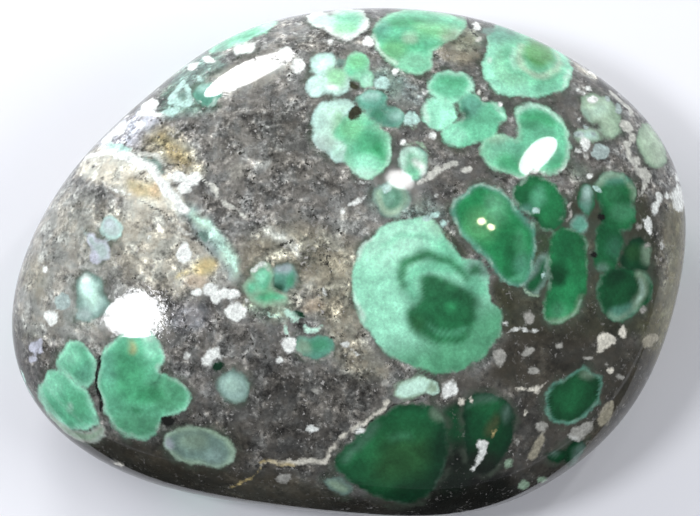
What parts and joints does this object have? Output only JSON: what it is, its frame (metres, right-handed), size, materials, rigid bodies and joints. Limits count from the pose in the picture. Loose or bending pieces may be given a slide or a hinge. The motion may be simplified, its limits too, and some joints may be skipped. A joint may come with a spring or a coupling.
{
  "type": "variscite clam pseudomorph",
  "caption": "Polished freeform stone of green variscite that has replaced clam shells in brown host rock, with a domed show face and a flat back to rest on or set.",
  "frame": {"origin": "on the flat back, under the middle of the outline's box", "axes": "+X along the stone's length, towards the blunt end on the right of the picture; +Y across it, towards the picture's top; +Z out of the domed show face"},
  "size_m": [0.0422, 0.0324, 0.0124],
  "materials": {
    "polished_rock": "high lapidary polish over mottled green nodules and grey-brown rock"
  },
  "bodies": {
    "root": {"polished_stone": "polished_rock"}
  },
  "joints": []
}
